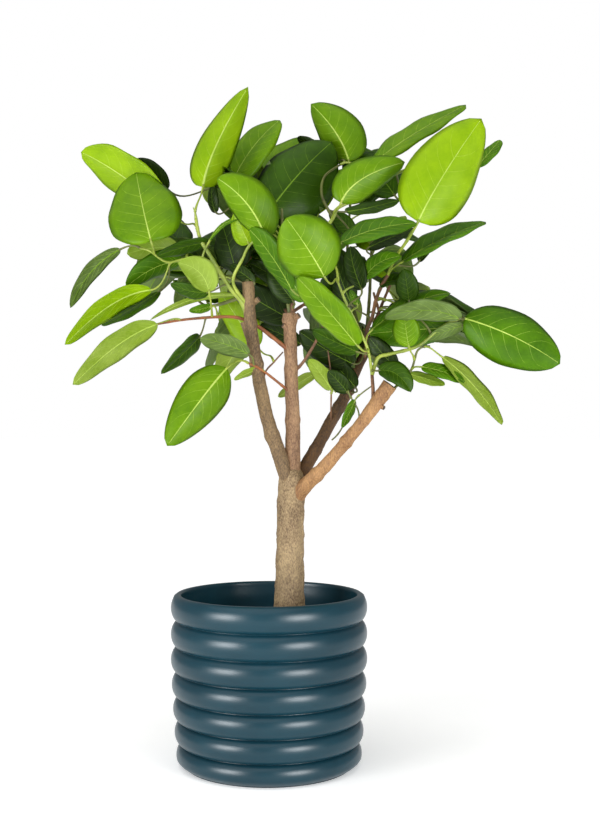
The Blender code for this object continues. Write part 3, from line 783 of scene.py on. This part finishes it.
# Rows: tint facing the camera, base, middle and tip pixels, half widths in pixels to the left and
# right of the growth, depths of base and tip, under where that face shows, and how the halves turn:
# a away from the camera, t towards it, or at where nothing is said.
shownLeaves = {
    "upper_left": (
        ("lime", (178, 220), (125, 178), (81, 152), 17, 21, 0.0, 0.02, "under"),
        ("bright", (151, 241), (143, 208), (136, 172), 36, 35, -0.1, -0.01, "aa"),
        ("dark", (168, 190), (150, 173), (132, 162), 9, 12, 0.04, 0.05),
        ("grey", (121, 249), (91, 272), (70, 308), 6, 6, -0.04, -0.07, "under"),
        ("pale", (180, 250), (154, 248), (127, 254), 14, 13, 0.03, 0.04, "under"),
        ("mid", (182, 262), (156, 267), (126, 287), 8, 13, -0.01, -0.02),
        ("deep", (209, 242), (184, 247), (157, 256), 6, 5, -0.05, -0.06),
    ),
    "left": (
        ("lime", (152, 290), (111, 305), (65, 345), 9, 9, -0.03, -0.06, "under"),
        ("deep", (160, 291), (133, 308), (101, 325), 9, 6, 0.01, 0.0, "ta"),
        ("pale", (158, 324), (118, 345), (73, 385), 11, 10, -0.035, -0.07, "under"),
        ("pale", (240, 296), (195, 299), (150, 320), 3, 3, -0.01, 0.0, "under"),
        ("mid", (212, 306), (201, 309), (189, 311), 4, 4, -0.02, -0.02),
        ("deep", (200, 336), (187, 350), (161, 374), 7, 7, -0.03, -0.03),
        ("grey", (250, 355), (225, 344), (200, 338), 10, 9, -0.05, -0.07, "under"),
        ("bright", (227, 368), (203, 397), (167, 446), 20, 23, -0.08, -0.13, "aa"),
        ("lime", (258, 348), (240, 322), (220, 292), 15, 17, 0.04, 0.05, "under"),
        ("pale", (209, 292), (199, 272), (178, 263), 13, 15, -0.06, -0.1, "under", "tt"),
        ("deep", (209, 292), (191, 291), (170, 284), 7, 7, -0.05, -0.05),
        ("pale", (262, 369), (248, 373), (234, 380), 3, 4, -0.03, -0.03, "under"),
    ),
    "top_left": (
        ("lime", (203, 187), (216, 146), (248, 87), 21, 17, -0.05, -0.02, "aa"),
        ("bright", (230, 188), (251, 150), (280, 120), 19, 20, 0.03, 0.05),
        ("deep", (268, 213), (299, 174), (332, 142), 34, 40, -0.02, 0.02, "aa"),
        ("bright", (266, 240), (248, 205), (217, 178), 15, 25, -0.1, -0.12, "aa"),
        ("lime", (249, 244), (243, 231), (235, 212), 11, 11, -0.075, -0.07, "under"),
        ("mid", (209, 242), (228, 222), (256, 216), 3, 3, -0.06, -0.06),
        ("dark", (216, 213), (212, 199), (213, 182), 5, 7, 0.0, 0.0),
        ("dark", (236, 271), (229, 246), (222, 223), 16, 22, -0.02, -0.01),
    ),
    "centre": (
        ("mid", (292, 290), (271, 255), (249, 229), 10, 12, -0.1, -0.09),
        ("bright", (325, 278), (308, 249), (286, 218), 27, 31, -0.16, -0.19, "aa"),
        ("dark", (362, 290), (354, 268), (350, 246), 10, 11, -0.09, -0.08),
        ("mid", (358, 305), (354, 298), (350, 290), 4, 4, -0.08, -0.08),
        ("dark", (352, 305), (341, 278), (333, 248), 12, 12, -0.03, -0.03),
        ("deep", (354, 236), (343, 223), (329, 212), 9, 9, 0.02, 0.02),
        ("deep", (222, 262), (228, 238), (240, 214), 12, 12, 0.01, 0.01),
        ("bright", (358, 346), (326, 308), (297, 277), 13, 13, -0.13, -0.16),
        ("mid", (304, 302), (295, 286), (285, 268), 9, 9, -0.05, -0.05),
        ("dark", (294, 302), (281, 285), (268, 268), 12, 12, -0.03, -0.02),
        ("dark", (255, 283), (242, 273), (230, 265), 7, 7, -0.04, -0.04, "under"),
        ("dark", (287, 286), (268, 273), (250, 263), 9, 9, -0.01, 0.0),
        ("dark", (292, 320), (262, 303), (230, 284), 16, 16, 0.02, 0.03),
        ("dark", (302, 344), (281, 334), (260, 325), 9, 9, 0.05, 0.05),
        ("pale", (332, 390), (321, 374), (309, 359), 8, 8, -0.01, -0.02, "under"),
        ("dark", (348, 393), (339, 382), (328, 371), 9, 9, -0.04, -0.05),
        ("dark", (354, 364), (327, 350), (299, 331), 15, 14, 0.0, -0.01),
        ("dark", (356, 388), (340, 370), (322, 356), 12, 10, 0.01, 0.01),
        ("deep", (358, 352), (336, 342), (312, 330), 10, 10, -0.03, -0.04),
        ("pale", (316, 373), (297, 384), (278, 397), 6, 6, 0.03, 0.03, "under"),
        ("mid", (355, 400), (349, 413), (342, 428), 5, 5, -0.045, -0.05),
    ),
    "top": (
        ("bright", (349, 162), (336, 133), (311, 104), 16, 28, 0.03, 0.06, "aa"),
        ("dark", (330, 160), (313, 148), (297, 138), 6, 6, 0.06, 0.07),
        ("bright", (341, 203), (362, 179), (405, 162), 20, 17, -0.09, -0.07, "aa"),
        ("bright", (374, 163), (414, 134), (466, 105), 14, 13, 0.0, 0.03),
        ("deep", (345, 212), (373, 207), (400, 200), 8, 8, -0.04, -0.03, "under"),
        ("deep", (395, 196), (375, 172), (352, 158), 20, 20, 0.04, 0.05, "aa"),
    ),
    "right_upper": (
        ("lime", (418, 222), (443, 176), (482, 118), 35, 32, -0.12, -0.09, "aa"),
        ("mid", (476, 168), (490, 152), (500, 140), 6, 7, 0.0, 0.01),
        ("mid", (341, 243), (377, 229), (417, 223), 13, 11, -0.14, -0.12),
        ("dark", (368, 248), (390, 238), (414, 228), 6, 8, -0.06, -0.06),
        ("mid", (402, 262), (442, 239), (486, 222), 13, 8, -0.07, -0.06),
        ("dark", (419, 262), (426, 251), (433, 242), 6, 4, -0.04, -0.04),
    ),
    "right": (
        ("mid", (364, 279), (379, 263), (401, 256), 10, 9, -0.09, -0.1),
        ("deep", (380, 287), (395, 280), (418, 281), 8, 5, -0.05, -0.05),
        ("deep", (409, 302), (407, 286), (404, 269), 11, 11, -0.06, -0.07),
        ("mid", (372, 330), (411, 304), (451, 293), 10, 9, -0.05, -0.06),
        ("grey", (461, 319), (424, 310), (384, 318), 9, 9, -0.09, -0.11),
        ("mid", (447, 328), (408, 330), (368, 334), 17, 15, -0.03, -0.02),
        ("bright", (409, 347), (406, 330), (404, 313), 13, 13, -0.08, -0.09),
        ("grey", (464, 325), (446, 331), (427, 339), 7, 6, -0.05, -0.05, "under"),
        ("mid", (463, 318), (512, 336), (560, 364), 26, 29, -0.06, -0.1, "aa"),
        ("pale", (442, 357), (474, 386), (502, 425), 11, 10, -0.06, -0.08, "under"),
        ("mid", (421, 367), (443, 372), (465, 382), 8, 7, -0.07, -0.07),
        ("pale", (408, 374), (427, 379), (445, 385), 6, 6, -0.065, -0.07, "under"),
        ("deep", (378, 371), (396, 374), (411, 392), 12, 10, -0.07, -0.08),
        ("dark", (397, 369), (382, 353), (369, 337), 10, 10, -0.04, -0.03),
    ),
}
otherFace = {"lime": "bright", "bright": "pale", "mid": "pale", "deep": "grey", "dark": "grey",
             "pale": "bright", "grey": "deep"}
pixelSize = photo["distance"] / photo["focal"]


def shownBlade(row, seed):
    base, middle, tip, left, right, depthBase, depthTip = row[1:8]
    turns = row[-1] if row[-1] in ("aa", "ta", "tt") else "at"
    faceSign = -1 if "under" in row else 1
    a, c = place(*base, depthBase), place(*tip, depthTip)
    reach = (c - a).length
    b = place(*middle, (depthBase + depthTip) / 2 - faceSign * leaf["bow"] * reach)
    flow = Vector((tip[0] - base[0], 0, base[1] - tip[1])).normalized()
    toLeft = Vector((-flow.z, 0, flow.x))
    widestSeen = max(left, right) * pixelSize
    real = max(min(leaf["slimmest"] * reach, leaf["widest"] * widestSeen), 1.03 * widestSeen)
    ways, halves = [], []
    for sign, seen, turned in ((1, left, turns[0]), (-1, right, turns[1])):
        seen = seen * pixelSize
        half = max(real, seen * 1.01)
        away = math.sqrt(max(half * half - seen * seen, 0)) * (1 if turned == "a" else -1)
        ways.append((toLeft * sign * seen + Vector((0, away, 0))).normalized())
        halves.append(half)
    return Blade(a, b, c, *ways[::faceSign], *halves[::faceSign], seed)


def growLeaf(blades, veins, blade, upperTint, underTint):
    addBlade(blades, blade, tintNames.index(upperTint), tintNames.index(underTint))
    addVeins(veins, blade, (upperTint, underTint))


# waist and taper thin the stalk in its middle and towards the blade; the other shares bend it
stalk = {
    "width": 0.0034, "sides": 8, "steps": 14, "ends": 0.66, "waist": 0.9, "taper": 0.12,
    "reach": 0.035, "reachShare": 0.25, "towards": 0.7, "lift": 0.5, "leave": 0.4, "arrive": 0.42,
    "into": 0.004,
}


def growStalk(mound, blade, tint):
    # a curved stalk from the nearest limb or shoot to the blade's base
    base = blade.base
    behind = -blade.heading(0.02)
    wanted = base + behind * min(stalk["reach"], blade.length * stalk["reachShare"])
    spot = min(network, key=lambda entry: (entry[0] - wanted).length_squared)[0]
    gap = (spot - base).length
    rise = Vector((0, 0, stalk["lift"] * gap))
    leave = spot + ((base - spot) * stalk["towards"] + rise) * stalk["leave"]
    arrive = base + behind * stalk["arrive"] * gap
    into = base + blade.heading(0) * stalk["into"]
    path = []
    for k in range(stalk["steps"] + 1):
        t = k / stalk["steps"]
        along = (spot * (1 - t) ** 3 + leave * 3 * t * (1 - t) ** 2 + arrive * 3 * t * t * (1 - t)
                 + into * t ** 3)
        thick = stalk["ends"] - stalk["waist"] * t * (1 - t) - stalk["taper"] * t
        path.append((along, stalk["width"] * thick))
    addTube(mound, path, stalk["sides"], stemNames.index(tint))


# the masses that each region's blades stand for, without the leaves_ before their names
regionMasses = {
    "upper_left": ("upper_left", "left_middle", "far_left", "front_left"),
    "left": ("left_long", "left_low", "left_hook", "low_left", "inner_left"),
    "top_left": ("top_left", "top_middle"),
    "centre": ("heart", "heart_low", "low_centre", "front_centre"),
    "top": ("top_centre",),
    "right_upper": ("upper_right", "upper_far", "front_right"),
    "right": ("right_lobe", "right_middle", "right_low", "far_right", "right_hanging", "low_right"),
    "back_top": ("back_top",),
    "back_left": ("back_left",),
    "back_right": ("back_right",),
    "back_low": ("back_low",),
    "inner": (),
}
outlines = []  # the photo outlines of the shown leaves, to keep the sky gaps open
allBlades, allVeins = {}, {}
for region, rows in shownLeaves.items():
    allBlades[region], allVeins[region] = Mound(), Mound()
    for number, row in enumerate(rows):
        blade = shownBlade(row, number * 0.7 + len(region))
        seenTint, otherTint = row[0], otherFace[row[0]]
        tints = (otherTint, seenTint) if "under" in row else (seenTint, otherTint)
        growLeaf(allBlades[region], allVeins[region], blade, *tints)
        growStalk(stems, blade, "green" if seenTint in lightTints else "olive")
        edge = [seenAt(blade.surface(k / 12, -1)) for k in range(13)]
        edge += [seenAt(blade.surface(k / 12, 1)) for k in range(12, -1, -1)]
        deepest = max(blade.surface(t, s).y for t in (0.1, 0.5, 0.9) for s in (-1, 0, 1))
        outlines.append((edge, deepest))
print("shown leaves", len(outlines))

# The sides that the photo hides: seeded twigs and leaves behind the shown ones.
back = {
    "seed": 23, "tries": 110, "leavesPerTwig": 9, "openShare": 0.12, "margin": 0.022, "behind": 0.004,
    "length": (0.115, 0.165), "halfShare": 0.29, "scatter": 0.75, "scatterWays": (1, 1, 0.7),
    "stalk": (0.02, 0.045), "droop": (0.05, 0.35), "middleRise": 0.15, "roll": 0.7, "fold": (0.05, 0.3),
    "twigWidth": 6.5, "twigEnd": 3.4, "twigBow": ((-0.02, 0.02), (0.0, 0.03), (-0.02, 0.01)),
    "firstLeaf": 0.30, "leafSpan": 0.69, "crownMiddle": (0.05, 0.02, 0.76),
    "pushBack": (0, 0.35, 0.1), "leastBack": -0.2,
}
# twigs that grow on from the limbs, each with its end point in the frame
backTwigs = {
    "back_top": (
        ("middle", (0.00, 0.13, 0.90)), ("middle", (0.06, 0.10, 0.93)), ("left", (-0.03, 0.10, 0.88))),
    "back_left": (
        ("left", (-0.13, 0.12, 0.81)), ("left", (-0.09, 0.16, 0.76)), ("left", (-0.12, 0.08, 0.72))),
    "back_right": (
        ("rear", (0.165, 0.13, 0.83)), ("rear", (0.20, 0.10, 0.76)), ("rear", (0.13, 0.15, 0.88))),
    "back_low": (
        ("rear", (0.08, 0.145, 0.70)), ("middle", (0.00, 0.14, 0.73)), ("rear", (0.15, 0.14, 0.68))),
    "inner": (
        ("middle", (0.05, 0.05, 0.82)), ("left", (-0.03, 0.04, 0.78)), ("rear", (0.12, 0.06, 0.76)),
        ("middle", (0.08, 0.00, 0.72)), ("middle", (0.02, -0.05, 0.84)), ("rear", (0.16, 0.00, 0.72))),
}


def inside(outline, u, v):
    hit = False
    for (a, b), (c, d) in zip(outline, outline[1:] + outline[:1]):
        if (b > v) != (d > v) and u < (c - a) * (v - b) / (d - b) + a:
            hit = not hit
    return hit


def covered(spot):
    u, v = seenAt(spot)
    return any(spot.y > deepest + back["behind"] and inside(outline, u, v)
               for outline, deepest in outlines)


def staysIn(blade):
    spots = [blade.surface(t, s) for t in (0.1, 0.5, 0.9) for s in (-1, 0, 1)] + [blade.tip]
    margin = back["margin"]
    return all(low - margin < part < high + margin
               for spot in spots for low, part, high in zip(cadBox[0], spot, cadBox[1]))


def hidden(blade, allowed):
    spots = [blade.surface(t, s) for t in (0.03, 0.2, 0.4, 0.6, 0.8, 0.97)
             for s in (-0.95, -0.5, 0, 0.5, 0.95)]
    return sum(1 for spot in spots if not covered(spot)) <= allowed * len(spots)


def seededBlade(start, outward, rng):
    length = rng.uniform(*back["length"])
    stray = Vector([rng.uniform(-most, most) for most in back["scatterWays"]])
    way = (outward + stray * back["scatter"]).normalized()
    droop = rng.uniform(*back["droop"]) * length
    base = start + way * rng.uniform(*back["stalk"])
    middle = base + way * length * 0.5 + Vector((0, 0, droop * back["middleRise"]))
    tip = base + way * length - Vector((0, 0, droop))
    across = way.cross(Vector((0, 0, 1)))
    if across.length < 0.2:
        across = way.cross(Vector((0, 1, 0)))
    across.normalize()
    up = across.cross(way)
    roll = rng.uniform(-back["roll"], back["roll"])
    fold = rng.uniform(*back["fold"])
    half = back["halfShare"] * length
    right = across * math.cos(roll + fold) + up * math.sin(roll + fold)
    left = -(across * math.cos(roll - fold) + up * math.sin(roll - fold))
    return Blade(base, middle, tip, left, right, half, half, rng.uniform(0, 6))


backTints = ("bright", "mid", "mid", "deep", "deep", "lime")
crownMiddle = Vector(back["crownMiddle"])
rng = random.Random(back["seed"])
kept = 0
for region, twigs in backTwigs.items():
    allBlades[region], allVeins[region] = Mound(), Mound()
    for number, (limb, end) in enumerate(twigs):
        end = Vector(end)
        starts = [spot for spot, name in network if name == limb]
        start = min(starts, key=lambda spot: (spot - end).length)
        bow = Vector([rng.uniform(*ends) for ends in back["twigBow"]])
        path = addShoot(stems, "brown" if number % 2 else "olive", back["twigWidth"], back["twigEnd"],
                        [start, (start + end) / 2 + bow, end], region)
        twigTint = rng.choice(backTints)
        for turn in range(back["leavesPerTwig"]):
            along = back["firstLeaf"] + back["leafSpan"] * turn / back["leavesPerTwig"]
            spot = path[int(len(path) * along)][0]
            outward = (spot - crownMiddle).normalized() + Vector(back["pushBack"])
            outward.y = max(outward.y, back["leastBack"])
            outward.normalize()
            for attempt in range(back["tries"]):
                blade = seededBlade(spot, outward, rng)
                if staysIn(blade) and hidden(blade, back["openShare"]):
                    tint = "deep" if region == "inner" else rng.choice((twigTint, rng.choice(backTints)))
                    growLeaf(allBlades[region], allVeins[region], blade, tint, otherFace[tint])
                    growStalk(stems, blade, "green")
                    kept += 1
                    break
print("seeded leaves", kept)

for region, mound in allBlades.items():
    masses = ["leaves_" + mass for mass in regionMasses[region]]
    finishPiece(mound.piece("leaves_" + region + "_blades", leafMaterials), "leaf", *masses)
    finishPiece(allVeins[region].piece("leaves_" + region + "_veins", leafMaterials), "leaf")
    print(region, len(mound.faces), len(allVeins[region].faces))
finishPiece(stems.piece("twigs_and_stalks", list(stemMaterials.values())), "bark")
print("stems", len(stems.faces))

# Floor, light and camera. Lamps: place, aim, size, power, and whether they light surfaces or only
# show as soft highlights on the glaze and the blades.
studio = {
    "floorSize": 60.0, "floorGlow": 0.37, "sky": 0.34, "backdrop": 1.0, "sunStrength": 1.25,
    "sunAngle": 1.3, "sunTurn": (16, -10),
    "lamps": {
        "keyLight": ((-1.50, -1.45, 0.62), (0, 0, 0.4), (0.8, 0.75), 14.0, True),
        "sideLight": ((1.20, -1.70, 0.62), (0, 0, 0.4), (0.75, 0.75), 12.0, True),
        "leftPanel": ((-1.62, -1.40, 0.50), (0, 0, 0.2), (1.1, 0.8), 40.0, False),
        "rightPanel": ((1.25, -1.75, 0.50), (0, 0, 0.2), (1.1, 0.8), 40.0, False),
    },
}
white = (1.0, 1.0, 1.0, 1.0)


def makeFloor():
    half = studio["floorSize"] / 2
    paper = grained("floorPaper", (252, 252, 252), (247, 247, 247), 3, 40, (0.9, 1.0), 0.02, 0.0005)
    shader = paper.node_tree.nodes["Principled BSDF"]
    shader.inputs["Emission Color"].default_value = white
    shader.inputs["Emission Strength"].default_value = studio["floorGlow"]
    corners = [(-half, -half, 0), (half, -half, 0), (half, half, 0), (-half, half, 0)]
    newPiece("studio_floor", corners, [(0, 1, 2, 3)], [paper], smooth=False)


def addLamp(name, spot, aim, size, power, lightsSurfaces):
    light = bpy.data.lights.new(name, "AREA")
    light.shape = "RECTANGLE"
    light.size, light.size_y = size
    light.energy = power
    lamp = linked(name, light)
    lamp.visible_diffuse = lightsSurfaces
    lamp.location = spot
    lamp.rotation_euler = (Vector(aim) - Vector(spot)).to_track_quat("-Z", "Y").to_euler()


def makeWorld():
    # a white backdrop over a softer room light
    world = bpy.data.worlds.new("studioWorld")
    world.use_nodes = True
    tree = world.node_tree
    seen = addNode(tree, "ShaderNodeLightPath")
    strength = addNode(tree, "ShaderNodeMapRange",
                       {"To Min": studio["sky"], "To Max": studio["backdrop"]})
    background = tree.nodes["Background"]
    background.inputs["Color"].default_value = white
    connect(tree, (seen, "Is Camera Ray", strength, "Value"),
            (strength, 0, background, "Strength"))
    bpy.context.scene.world = world
    sun = bpy.data.lights.new("skyLight", "SUN")
    sun.energy = studio["sunStrength"]
    sun.angle = studio["sunAngle"]
    turnX, turnY = studio["sunTurn"]
    linked("skyLight", sun).rotation_euler = (math.radians(turnX), math.radians(turnY), 0)


makeFloor()
makeWorld()
for lampName, lamp in studio["lamps"].items():
    addLamp(lampName, *lamp)
bpy.context.scene.view_settings.view_transform = "Standard"

camera = bpy.data.cameras.new("photoCamera")
camera.sensor_fit = "HORIZONTAL"
camera.sensor_width = photo["sensorWidth"]
camera.lens = photo["sensorWidth"] * photo["focal"] / photo["width"]
cameraObject = linked("photoCamera", camera)
cameraObject.location = (photo["eyeSide"], -photo["distance"], photo["eyeHeight"])
cameraObject.rotation_euler = (math.pi / 2, 0, 0)
bpy.context.scene.camera = cameraObject
print("studio ready")
